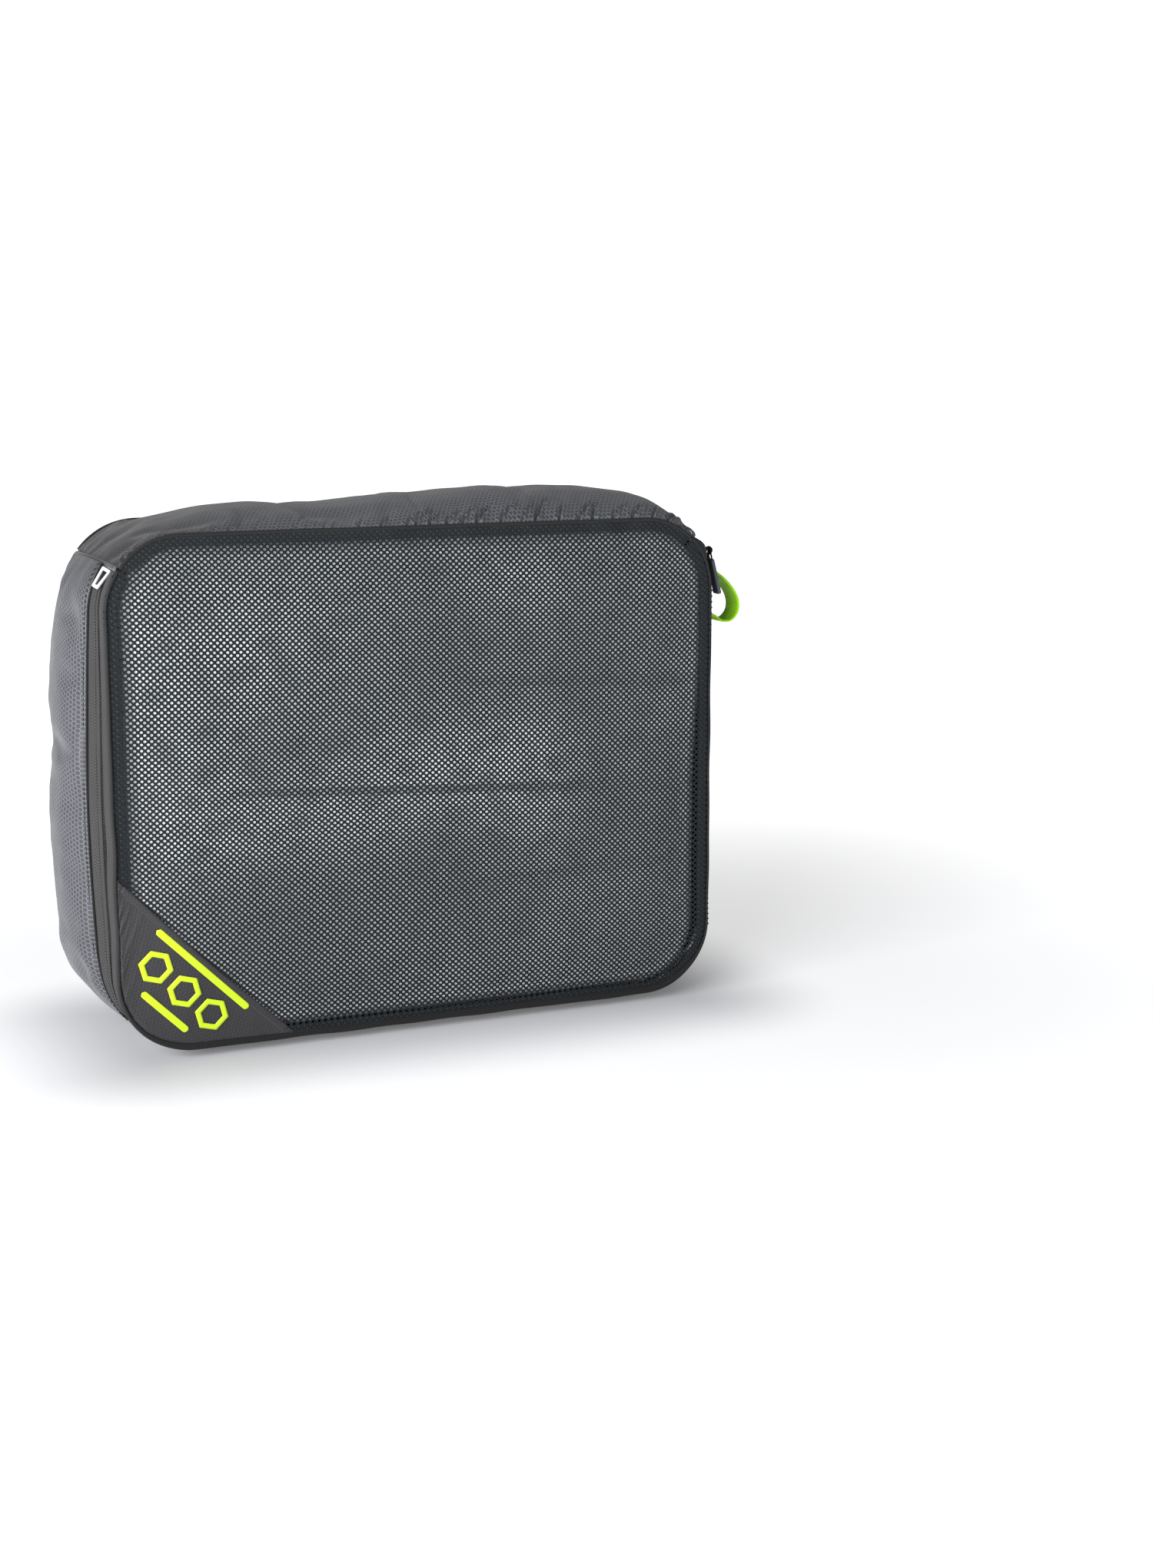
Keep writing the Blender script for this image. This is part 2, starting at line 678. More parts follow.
def makeGusset(name, node, fromU, toU, steps, startS, startN, crown, puckers, levels, seed):
    settings = gussetSettings
    rows = int(round((toU - fromU) / steps[0])) + 1
    endS = backDepth + 0.4 * mm
    columns = int(round((endS - startS) / steps[1])) + 1
    u, t = np.meshgrid(np.linspace(fromU, toU, rows), np.linspace(0, 1, columns), indexing="ij")
    taken = tuck(u) * (startS > 20 * mm)  # only the side gusset follows the rear tape
    s = startS - taken + (endS - startS + taken) * t
    n = drawIn(u, startN * (1 - t) + bow(u, 0 * u + startS) * (1 - t) ** 2 + crown(u) * pillow(t))
    x, z, nx, nz = seamAt(u)
    n = n - pinch(u, s)
    flat = np.stack([x + nx * n, frontY + s, z + nz * n], -1).reshape(-1, 3)
    obj = newObject(name, flat, gridFaces(rows, columns), ripstop)
    border = np.zeros((rows, columns), bool)
    border[:, 0] = border[:, -1] = True
    border[0, :] = border[-1, :] = True
    setPlaces(obj, inflate(obj, border.ravel(), settings["growth"]))
    dark = settings["topDark"] * np.exp(-(((loopLength - u) / settings["topDarkReach"]) ** 2))
    dark = dark + settings["sideDark"] * np.exp(-((u / settings["sideDarkReach"]) ** 2))
    addClothMap(obj, np.stack([u, s], -1).reshape(-1, 2), dark.ravel())
    subdivide(obj, levels)
    places = readVectors(obj.data.vertices, "co")
    lengths = readVectors(obj.data.attributes["clothMap"].data, "vector")
    u, s = lengths[:, 0], lengths[:, 1]
    t = np.clip((s - startS) / (endS - startS), 0, 1)
    # puckers that the stitching draws into the seams, and slower unevenness
    lift = creases(u, s - startS, puckers, 1.4, seed) + creases(u, endS - s, rearPuckers, 0.3, seed + 1)
    lift = lift + 0.9 * mm * ripple(u, s, seed + 2, 75 * mm) * pillow(t, 1.0)
    lift = lift + 0.35 * mm * ripple(u, s, seed + 3, 21 * mm) * pillow(t, 1.0)
    _, _, nx, nz = seamAt(u)
    places[:, 0] += nx * lift
    places[:, 2] = pressOnFloor(places[:, 2] + nz * lift)
    setPlaces(obj, places)
    thicken(obj, settings["thickness"])
    finish(obj, "bag_body", [node])


def creases(u, away, settings, slant, seed):
    # narrow folds that start at a seam, each with a soft ridge on both sides
    rng = np.random.default_rng(seed)
    lift = np.zeros_like(u)
    place = settings["from"]
    while place < settings["to"]:
        width = rng.uniform(0.9, 1.5) * mm
        length = rng.uniform(0.5, 1.0) * settings["length"]
        deep = rng.uniform(0.5, 1.0) * settings["depth"](place)
        lean = slant * rng.uniform(0.5, 1.3)
        across = (u + lean * away - place) / width
        valley = np.exp(-across**2) - 0.55 * np.exp(-((np.abs(across) - 2.0) ** 2))
        fade = smooth(away / (1.5 * mm)) * smooth((length - away) / (0.7 * length))
        lift = lift - deep * valley * fade
        place += rng.uniform(0.5, 1.5) * settings["spacing"]
    return lift


def sideCrown(u):
    # less full towards both upper corners
    share = smooth((lowerLength - u) / (90 * mm))
    crown = gussetSettings["sideCrown"] * (0.55 + 0.45 * share) * (1 + 0.05 * ripple(u, 0 * u, 4, 120 * mm))
    return crown - gussetSettings["cornerDip"] * np.exp(-((u / (48 * mm)) ** 2))


def topCrown(u):
    share = smooth((u - lowerLength) / (90 * mm))
    fuller = gussetSettings["fuller"] * smooth((loopLength - 90 * mm - u) / (200 * mm))
    fromCorner = loopLength - u
    dip = gussetSettings["topDip"] * np.exp(-(((fromCorner - 32 * mm) / (34 * mm)) ** 2))
    dip = dip - 3.2 * mm * np.exp(-(((fromCorner - 98 * mm) / (32 * mm)) ** 2))
    return (gussetSettings["topCrown"] + fuller) * (0.55 + 0.45 * share) - dip


def fixedDepth(u):
    return 0.8 * mm


def topPuckerDepth(u):
    # deepest over the right half of the bag
    middle = smooth((loopLength - 110 * mm - u) / (140 * mm))
    corner = math.exp(-(loopLength - u) / (35 * mm))
    return (0.7 + 2.8 * float(middle) + 1.8 * corner) * mm


sidePuckers = {"from": 4 * mm, "to": lowerLength, "spacing": 34 * mm, "length": 16 * mm, "depth": fixedDepth}
topPuckers = {
    "from": lowerLength,
    "to": loopLength,
    "spacing": 12 * mm,
    "length": 21 * mm,
    "depth": topPuckerDepth,
}
rearPuckers = {"from": 0, "to": loopLength, "spacing": 24 * mm, "length": 16 * mm, "depth": fixedDepth}


def makeGussets():
    settings = gussetSettings
    makeGusset(
        "sideGussetCloth", "side_gusset", 0.6 * mm, lowerLength - 0.6 * mm, settings["sideSteps"],
        settings["sideStart"], settings["sideStartOut"], sideCrown, sidePuckers, 1, 11,
    )
    makeGusset(
        "topGussetCloth", "top_gusset", lowerLength + 0.2 * mm, loopLength - 0.2 * mm, settings["topSteps"],
        settings["topStart"], settings["topStartOut"], topCrown, topPuckers, 2, 31,
    )
    print("gussets filled")


makeGussets()


def flangeShare(u):
    # the front tape turns in further along the base than up the sides
    firstCorner = leftArc + sideLength + arcLength / 2
    secondCorner = firstCorner + arcLength + baseLength
    begin = smooth((u - firstCorner + 30 * mm) / (60 * mm))
    return begin * smooth((secondCorner + 30 * mm - u) / (60 * mm))


sweepStep = 3 * mm


def sweepTape(
    name, profile, fromU, toU, look, thickness, wobble=0.0, seed=1, closed=False, flange=False
):
    # profile is a list of (s, n) in millimetres; wobble is how unevenly the tape lies
    profile = np.array(profile) * mm
    rows = int(round((toU - fromU) / sweepStep)) + 1
    u = np.linspace(fromU, toU, rows)[:, None] + np.zeros(len(profile))[None, :]
    s = profile[None, :, 0] + np.zeros_like(u)
    n = profile[None, :, 1] + np.zeros_like(u)
    if flange:
        n = np.where(n < 0, n * (0.28 + 0.72 * flangeShare(u)), n)
    s = s - tuck(u) * np.clip((s - 17.4 * mm) / (11.5 * mm), 0, 1) * (s < 32 * mm)
    if wobble:
        n = n + wobble * ripple(u, s * 0.4, seed, 60 * mm)
        s = s + 0.6 * wobble * ripple(u, 0 * u, seed + 5, 90 * mm)
    across = np.concatenate([[0], np.cumsum(np.hypot(*np.diff(profile, axis=0).T))])
    places = shellPoints(u, s, n).reshape(-1, 3)
    faces = gridFaces(rows, len(profile), closeColumns=closed)
    caps = endCaps(rows, len(profile)) if closed else []
    obj = newObject(name, places, faces + caps, look, flatFaces=len(caps))
    dark = np.zeros_like(u)
    if flange:
        low = flangeShare(u)
        low = np.maximum(low, smooth((u - leftArc - sideLength) / (26 * mm)) * (u < 0.5 * lowerLength))
        dark = np.clip(0.8 * smooth((6 * mm - s) / (7 * mm)) + 0.8 * low, 0, 0.82)
    addClothMap(obj, np.stack([u, across[None, :] + np.zeros_like(u)], -1).reshape(-1, 2), dark.ravel())
    if thickness:
        thicken(obj, thickness)
    return obj


def roundProfile(centreS, centreN, radius, sides=10):
    angles = [2 * math.pi * i / sides for i in range(sides)]
    return [(centreS + radius * math.cos(a), centreN + radius * math.sin(a)) for a in angles]


zipSettings = {
    "endGap": 0.6 * mm,  # the tapes stop this far from the cross seams
    "toothPitch": 1.5 * mm,
    "tapeThickness": 0.6 * mm,
}


def makeZip():
    fromU = zipSettings["endGap"]
    toU = lowerLength - zipSettings["endGap"]
    thickness = zipSettings["tapeThickness"]
    frontProfile = [
        (1.3, -5.2), (0.3, -5.0), (-0.1, -4.4), (-0.2, -3.2), (0.0, -2.0), (0.5, -0.9), (1.4, -0.1),
        (2.8, 0.4), (5.0, 0.7), (8.0, 0.8), (11.0, 0.6), (13.0, 0.4), (14.2, 0.1),
    ]
    tape = sweepTape(
        "frontZipTape", frontProfile, fromU, toU, zipTapeLook, thickness, 0.35 * mm, 3, flange=True
    )
    finish(tape, "front_flap", ["zip_tape_front"])
    rearProfile = [
        (17.9, 0.1), (19.0, 0.6), (21.0, 1.2), (23.0, 1.9), (25.0, 2.7), (27.0, 3.6), (29.6, 4.5),
    ]
    tape = sweepTape("rearZipTape", rearProfile, fromU, toU, zipTapeLook, thickness, 0.2 * mm, 8)
    finish(tape, "bag_body", ["zip_tape_rear"])
    makeTeeth("frontTeeth", "zip_coil_front", "front_flap", 15.45, fromU, toU, 0.0)
    makeTeeth("rearTeeth", "zip_coil_rear", "bag_body", 16.65, fromU, toU, 0.5)
    fold = sweepTape(
        "gussetFoldEdge", roundProfile(28.9, 5.0, 0.75, 8), fromU, toU, edgeTapeLook, 0, closed=True
    )
    finish(fold, "bag_body", ["gusset_fold_edge"])
    print("zip made")


def makeTeeth(name, node, body, centreS, fromU, toU, phase):
    # a nylon coil pressed flat: one low rounded hump for each turn
    pitch = zipSettings["toothPitch"]
    count = int((toU - fromU) / pitch)
    shape = [(-0.5, 0.25), (-0.3, 0.75), (0.0, 1.0), (0.3, 0.75), (0.5, 0.25), (0.5, 0.0), (-0.5, 0.0)]
    sides = 5
    s, n, u = [], [], []
    for k in range(count):
        for along, swell in shape:
            for j in range(sides):
                angle = math.pi * j / (sides - 1)
                u.append(fromU + (k + phase + along * 0.8) * pitch)
                s.append((centreS - 0.62 * math.cos(angle) * (0.7 + 0.3 * swell)) * mm)
                n.append((-0.7 + 1.1 * math.sin(angle) * swell) * mm)
    places = shellPoints(np.array(u), np.array(s), np.array(n))
    faces = []
    block = len(shape) * sides
    for k in range(count):
        for i in range(len(shape)):
            a = k * block + i * sides
            b = k * block + (i + 1) % len(shape) * sides
            for j in range(sides - 1):
                faces.append((a + j, a + j + 1, b + j + 1, b + j))
    obj = newObject(name, places, faces, coilLook)
    finish(obj, body, [node])


makeZip()


frontSettings = {
    "crown": 4.5 * mm,
    "reach": 60 * mm,
    "seamDepth": 1.5 * mm,
    "sag": 0.7 * mm,
    "gather": 1.0 * mm,  # under the top seam
}


def frontDepth(x, z):
    # how far behind the front face the mesh lies
    inside = insideDistance(x, z)
    full = smooth((inside + 4 * mm) / frontSettings["reach"])
    s = frontSettings["seamDepth"] - frontSettings["crown"] * full
    s = s + frontSettings["sag"] * ripple(x, z, 21, 110 * mm) * smooth(inside / (40 * mm))
    nearTop = np.exp(-np.maximum(seamHigh - z, 0) / (16 * mm)) * smooth((x + 120 * mm) / (200 * mm))
    return s + frontSettings["gather"] * nearTop * ripple(x + 0.4 * z, 0 * z, 22, 26 * mm)


meshSettings = {
    "across": 4.3 * mm,
    "rise": 3.9 * mm,
    "holeAcross": 0.50,
    "holeRise": 0.48,
    "strandHeight": 0.2 * mm,
    "patchLeg": 113.5 * mm,
}


def makeLining(name, body, fromU, toU):
    # the seam allowance that lies behind the mesh's edge
    rows = int((toU - fromU) / (3 * mm)) + 1
    u = np.linspace(fromU, toU, rows)[:, None]
    inset = np.array([1.8, 3.4, 5.0, 6.6, 8.2])[None, :] * mm
    x, z, nx, nz = (v + 0 * inset for v in seamAt(u))
    x, z = x - nx * inset, z - nz * inset
    places = np.stack([x, frontY + frontDepth(x, z) + 0.75 * mm, z], -1).reshape(-1, 3)
    obj = newObject(name, places, gridFaces(rows, inset.shape[1]), liningLook)
    addClothMap(obj, np.stack([u + 0 * x, inset + 0 * x], -1).reshape(-1, 2))
    thicken(obj, 0.3 * mm, offset=1.0)
    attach(obj, body)


makeLining("frontLining", "front_flap", 2 * mm, lowerLength - 2 * mm)
makeLining("topLining", "bag_body", lowerLength + 2 * mm, loopLength - 2 * mm)


def patchDistance(x, z):
    # distance beyond the patch's slanting seam, away from its corner
    return (x + halfWidth + z - seamLow - meshSettings["patchLeg"]) / math.sqrt(2)


def makeMeshPanel():
    settings = meshSettings
    halfA = settings["across"] / 2
    halfB = settings["rise"] / 2
    columns = int(halfWidth / halfA) + 2
    lowRow = int(seamLow / halfB) - 2
    highRow = int(seamHigh / halfB) + 2
    gx, gz = np.meshgrid(np.arange(-columns, columns + 1), np.arange(lowRow, highRow + 1), indexing="ij")
    keep = (gx + gz) % 2 == 0
    gx, gz = gx[keep], gz[keep]

    def warped(a, b):
        # the knit isn't drawn perfectly straight
        x = a * halfA
        z = b * halfB
        return x + 1.5 * mm * ripple(x, z, 41, 170 * mm), z + 2.0 * mm * ripple(x, z, 42, 190 * mm)

    x, z = warped(gx, gz)
    inside = insideDistance(x, z)
    topGap = seamHigh - z
    low = smooth((lowerZ - z) / (40 * mm))
    keep = (inside > 1.0 * mm + 2.0 * mm * low) & (topGap > 2.0 * mm) & (patchDistance(x, z) > -1.0 * mm)
    gx, gz = gx[keep], gz[keep]
    corners = [(1, 0), (0, 1), (-1, 0), (0, -1)]
    keys = np.stack([np.stack([gx + i, gz + j], -1) for i, j in corners], 1)
    flat = keys.reshape(-1, 2)
    unique, index = np.unique(flat, axis=0, return_inverse=True)
    index = index.reshape(-1, 4)
    cx, cz = warped(unique[:, 0], unique[:, 1])
    knots = np.stack([cx, frontY + frontDepth(cx, cz) - settings["strandHeight"], cz], -1)
    holeA, holeB = settings["holeAcross"], settings["holeRise"]
    slantA, slantB = 0.64 * holeA, 0.64 * holeB  # more than half, so the diamonds have rounded sides
    rim = [
        (holeA, 0), (slantA, slantB), (0, holeB), (-slantA, slantB),
        (-holeA, 0), (-slantA, -slantB), (0, -holeB), (slantA, -slantB),
    ]
    rims = []
    for a, b in rim:
        rx, rz = warped(gx + a, gz + b)
        rims.append(np.stack([rx, frontY + frontDepth(rx, rz), rz], -1))
    rims = np.stack(rims, 1)
    count = len(gx)
    rimIndex = len(knots) + np.arange(count)[:, None] * 8 + np.arange(8)[None, :]
    triangles = []
    for side in range(4):
        a = index[:, side]
        b = index[:, (side + 1) % 4]
        first = rimIndex[:, 2 * side]
        middle = rimIndex[:, 2 * side + 1]
        last = rimIndex[:, (2 * side + 2) % 8]
        for triangle in ((a, middle, b), (a, first, middle), (b, middle, last)):
            triangles.append(np.stack(triangle, -1))
    faces = np.concatenate(triangles)
    vertices = np.concatenate([knots, rims.reshape(-1, 3)])
    obj = newObject("meshPanel", vertices, faces.tolist(), meshLook)
    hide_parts("mesh_panel")
    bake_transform(obj)
    print("mesh panel knitted:", count, "holes")


makeMeshPanel()

patchSettings = {
    "sideInset": 1.6 * mm,
    "lowInset": 4.6 * mm,
    "leg": 112.5 * mm,
    "forward": 0.9 * mm,  # the patch lies this far in front of the mesh
    "seamBow": 2.0 * mm,
    "pucker": 2.4 * mm,
    "sewnDepth": 0.6 * mm,  # its sewn edge lies this much deeper
}
turn = math.sqrt(0.5)  # the patch and its print slant by 45 degrees


def makePatch():
    left, low = -halfWidth + patchSettings["sideInset"], seamLow + patchSettings["lowInset"]
    leg = patchSettings["leg"]
    radius = cornerRadius - patchSettings["lowInset"]
    straight = leg - radius
    arc = radius * math.pi / 2
    total = 2 * straight + arc
    rows, columns = 110, 34
    outer = []
    for k in range(rows):
        d = total * k / (rows - 1)
        if d < straight:
            outer.append((left, low + leg - d))
        elif d < straight + arc:
            a = math.pi + (d - straight) / radius
            outer.append((left + radius + radius * math.cos(a), low + radius + radius * math.sin(a)))
        else:
            outer.append((left + radius + d - straight - arc, low))
    outer = np.array(outer)
    share = np.linspace(0, 1, rows)
    # the slanting seam bows a little towards the corner
    inward = patchSettings["seamBow"] * np.sin(math.pi * share) * 0.7
    inner = np.stack([left + leg * share - inward, low + leg * (1 - share) - inward], -1)
    t = np.linspace(0, 1, columns)[None, :, None]
    flat = outer[:, None, :] * (1 - t) + inner[:, None, :] * t
    x, z = flat[..., 0], flat[..., 1]
    away = np.hypot(*(flat - outer[:, None, :]).transpose(2, 0, 1))
    along = share[:, None] * total + 0 * x
    pucker = patchSettings["pucker"] * np.abs(ripple(along + 1.1 * away, away * 0.2, 52, 13 * mm))
    pucker = pucker * np.exp(-away / (9 * mm)) * smooth(1.1 - 1.4 * share)[:, None]
    y = frontY + frontDepth(x, z) - patchSettings["forward"] - pucker
    y = y + 0.25 * mm * ripple(x, z, 53, 34 * mm)
    y[:, 0] += patchSettings["sewnDepth"]
    places = np.stack([x, y, z], -1).reshape(-1, 3)
    obj = newObject("cornerPatch", places, gridFaces(rows, columns), patchCloth)
    addClothMap(obj, np.stack([(x - z) * turn, (x + z) * turn], -1).reshape(-1, 2))
    thicken(obj, 0.4 * mm, offset=1.0)
    finish(obj, "front_flap", ["corner_patch"])
    makeHem(inner[4:-4])


def sweepRows(name, places, lengths, look, closed=False):
    # one list entry for each line along the sweep
    rows, columns = len(places[0]), len(places)
    faces = gridFaces(rows, columns, closeColumns=closed)
    caps = endCaps(rows, columns) if closed else []
    obj = newObject(name, np.stack(places, 1).reshape(-1, 3), faces + caps, look, flatFaces=len(caps))
    addClothMap(obj, np.stack(lengths, 1).reshape(-1, 2))
    return obj


def liftedPoint(x, z, forward):
    return np.stack([x, frontY + frontDepth(x, z) - patchSettings["forward"] - forward, z], -1)


def makeHem(seam):
    # a folded hem along the patch's slanting seam
    shape = [(0.6, 0.0), (0.3, 0.3), (-0.8, 0.38), (-2.0, 0.34), (-3.2, 0.25), (-4.0, 0.1)]
    places, lengths = [], []
    for away, rise in shape:
        x = seam[:, 0] + away * mm * turn
        z = seam[:, 1] + away * mm * turn
        places.append(liftedPoint(x, z, rise * mm))
        lengths.append(np.stack([(x - z) * turn, np.full(len(seam), away * mm)], -1))
    obj = sweepRows("patchHem", places, lengths, patchCloth)
    thicken(obj, 0.35 * mm, offset=0)
    finish(obj, "front_flap", ["patch_hem"])


printSettings = {
    "forward": 0.55 * mm,
    "thickness": 0.15 * mm,
    "stripeWidth": 4.6 * mm,
    "stripes": [("print_stripe_long", 78 * mm, 68 * mm), ("print_stripe_short", 36 * mm, 32 * mm)],
    "hexagonDistance": 50 * mm,
    "hexagonSpacing": 25 * mm,
    "hexagonOuter": 11.5 * mm,
    "hexagonInner": 7.4 * mm,
    "hexagons": 3,
}


def printPlace(distance, along):
    # distance from the corner, along the slant from its middle
    inset = 6 * mm
    left = -halfWidth + inset
    low = seamLow + inset
    return left + (distance + along) * turn, low + (distance - along) * turn


def printOn(name, node, grid, rows, columns, closeRows):
    x, z = printPlace(grid[:, 0], grid[:, 1])
    places = liftedPoint(x, z, printSettings["forward"])
    obj = newObject(name, places, gridFaces(rows, columns, closeRows=closeRows), inkLook)
    thicken(obj, printSettings["thickness"], offset=0)
    finish(obj, "front_flap", [node])


def makePrint():
    width = printSettings["stripeWidth"]
    for node, length, distance in printSettings["stripes"]:
        rows, columns = 60, 7
        along = np.linspace(-length / 2 - width / 2, length / 2 + width / 2, rows)
        over = np.maximum(np.abs(along) - length / 2, 0)
        half = np.sqrt(np.maximum((width / 2) ** 2 - over**2, 1e-9))
        side = np.linspace(-1, 1, columns)
        grid = np.stack(
            [distance + half[:, None] * side[None, :], along[:, None] + 0 * side[None, :]], -1
        ).reshape(-1, 2)
        printOn(node.replace("print_", "ink_"), node, grid, rows, columns, False)
    perSide = 8
    ring = []
    for side in range(6):
        a = (side + 0.5) * math.pi / 3
        b = (side + 1.5) * math.pi / 3
        for t in np.arange(perSide) / perSide:
            ring.append((math.cos(a) * (1 - t) + math.cos(b) * t, math.sin(a) * (1 - t) + math.sin(b) * t))
    sizes = np.linspace(printSettings["hexagonInner"], printSettings["hexagonOuter"], 4)
    hexagon = (np.array(ring)[:, None, :] * sizes[None, :, None])[..., ::-1]
    for k in range(printSettings["hexagons"]):
        along = (k - 1) * printSettings["hexagonSpacing"]
        grid = hexagon + np.array([printSettings["hexagonDistance"], along])
        node = f"print_hexagon_{k + 1}"
        printOn(node.replace("print_", "ink_"), node, grid.reshape(-1, 2), len(ring), 4, True)


makePatch()
makePrint()
print("patch and print made")


def makeSeams():
    welt = sweepTape(
        "topSeamWelt", roundProfile(1.6, -1.3, 1.15), lowerLength + 1.2 * mm, loopLength - 1.2 * mm,
        edgeTapeLook, 0, 0.15 * mm, 14, closed=True,
    )
    finish(welt, "bag_body", ["top_seam_welt"])
    rows = 60
    startS = gussetSettings["topStart"]
    endS = backDepth + 0.4 * mm
    for name, node, u, crownU in (
        ("crossSeamLeft", "cross_seam_left", 0.0, loopLength - 1e-6),
        ("crossSeamRight", "cross_seam_right", lowerLength, lowerLength),
    ):
        crown = topCrown(np.array([crownU]))[0]
        t = np.linspace(0, 1, rows)
        s = startS + (endS - startS) * t
        n = gussetSettings["topStartOut"] * (1 - t) + crown * pillow(t)
        ring = [(-1.3, -0.3), (-0.9, 0.25), (0.0, 0.5), (0.9, 0.25), (1.3, -0.3)]
        places = [shellPoints(np.full(rows, u + along * mm), s, n + rise * mm) for along, rise in ring]
        lengths = [np.stack([s, np.full(rows, along * mm)], -1) for along, _ in ring]
        obj = sweepRows(name, places, lengths, ripstop)
        thicken(obj, 0.5 * mm)
        finish(obj, "bag_body", [node])


makeSeams()


def stitchRow(name, body, placesOf, total, pitch, length, radius):
    # a row of short threads; placesOf gives points for an array of lengths along the row
    count = int(total / pitch)
    sides, rings = 5, [(-0.5, 0.15), (-0.35, 0.85), (0.0, 1.0), (0.35, 0.85), (0.5, 0.15)]
    vertices, faces = [], []
    centres = (np.arange(count) + 0.5) * pitch
    ends = placesOf(centres - length / 2), placesOf(centres + length / 2)
    outward = placesOf(centres, True) - placesOf(centres)
    for k in range(count):
        a, b = ends[0][k], ends[1][k]
        along = (b - a) / max(np.linalg.norm(b - a), 1e-9)
        up = outward[k] / max(np.linalg.norm(outward[k]), 1e-9)
        side = np.cross(along, up)
        begin = len(vertices)
        for t, swell in rings:
            middle = (a + b) / 2 + along * length * t
            for j in range(sides):
                angle = 2 * math.pi * j / sides
                vertices.append(middle + radius * swell * (math.cos(angle) * side + math.sin(angle) * up))
        for face in gridFaces(len(rings), sides, closeColumns=True) + endCaps(len(rings), sides):
            faces.append(tuple(begin + i for i in face))
    obj = newObject(name, vertices, faces, threadLook)
    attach(obj, body)


# name, body, depth and distance out of the row, share of the tuck, then pitch, length and radius
stitchRows = [
    ("gussetStitches", "bag_body", 31.2, 6.7, 1.0, 3.2, 2.3, 0.22),
    ("frontTapeStitches", "front_flap", 12.6, 1.0, 0.0, 2.0, 1.3, 0.18),
    ("rearTapeStitches", "bag_body", 20.3, 1.55, 0.25, 2.0, 1.3, 0.18),
]


def makeStitches():
    fromU = zipSettings["endGap"]
    total = lowerLength - 2 * fromU
    for name, body, s, out, tucked, pitch, length, radius in stitchRows:

        def alongRow(u, lifted=False):
            n = np.full(len(u), out * mm + (1 * mm if lifted else 0))
            return shellPoints(u + fromU, s * mm - tucked * tuck(u), n)

        stitchRow(name, body, alongRow, total, pitch * mm, length * mm, radius * mm)
    print("seams stitched")


makeStitches()


backSettings = {
    "rows": 56,
    "columns": 70,
    "crown": 7 * mm,
    "growth": 0.02,
    "lift": 1.8 * mm,
    "gather": 1.3 * mm,
    "thickness": 0.5 * mm,
}


def makeBack():
    rows, columns = backSettings["rows"], backSettings["columns"]
    left = leftArc + sideLength + arcLength / 2
    bottom = left + arcLength + baseLength
    right = bottom + arcLength + sideLength
    a = np.linspace(0, 1, columns)
    b = np.linspace(0, 1, rows)
    startU = leftArc - arcLength / 2  # the middle of the upper left corner

    def seamLine(fromU, toU, share):
        x, z, _, _ = seamAt(fromU + (toU - fromU) * share)
        return np.stack([x, z], -1)

    low = seamLine(left, bottom, a)
    high = seamLine(startU + loopLength, right, a)
    west = seamLine(left, startU, b)
    east = seamLine(bottom, right, b)
    bb, aa = b[:, None, None], a[None, :, None]
    # blends the four sides of the seam line into one grid
    grid = low[None] * (1 - bb) + high[None] * bb + west[:, None] * (1 - aa) + east[:, None] * aa
    grid = grid - (
        low[0] * (1 - aa) * (1 - bb) + low[-1] * aa * (1 - bb) + high[0] * (1 - aa) * bb + high[-1] * aa * bb
    )
    px, pz = grid[..., 0], grid[..., 1]
    inside = np.maximum(insideDistance(px, pz), 0)
    y = frontY + backDepth + 0.3 * mm + backSettings["crown"] * smooth(inside / (70 * mm))
    flat = np.stack([px, y, pz], -1).reshape(-1, 3)
    obj = newObject("backPanelCloth", flat, [face[::-1] for face in gridFaces(rows, columns)], ripstop)
    border = np.zeros((rows, columns), bool)
    border[0] = border[-1] = border[:, 0] = border[:, -1] = True
    setPlaces(obj, inflate(obj, border.ravel(), backSettings["growth"]))
    addClothMap(obj, np.stack([px, pz], -1).reshape(-1, 2))
    subdivide(obj, 1)
    places = readVectors(obj.data.vertices, "co")
    px, pz = places[:, 0], places[:, 2]
    inside = np.maximum(insideDistance(px, pz), 0)
    lift = backSettings["lift"] * ripple(px, pz, 61, 110 * mm) * smooth(inside / (30 * mm))
    gather = np.abs(ripple(px + pz, px - pz, 62, 17 * mm))
    nearSeam = np.exp(-inside / (10 * mm))
    places[:, 1] += lift + backSettings["gather"] * gather * nearSeam * (1 - np.exp(-inside / (2 * mm)))
    setPlaces(obj, places)
    thicken(obj, backSettings["thickness"])
    finish(obj, "bag_body", ["back_panel"])
    binding = sweepTape(
        "backBinding", roundProfile(backDepth / mm + 0.9, 0.1, 1.5), 0, loopLength - 3 * mm,
        edgeTapeLook, 0, 0.15 * mm, 17, closed=True,
    )
    finish(binding, "bag_body", ["back_seam_binding"])
    print("back made")


makeBack()


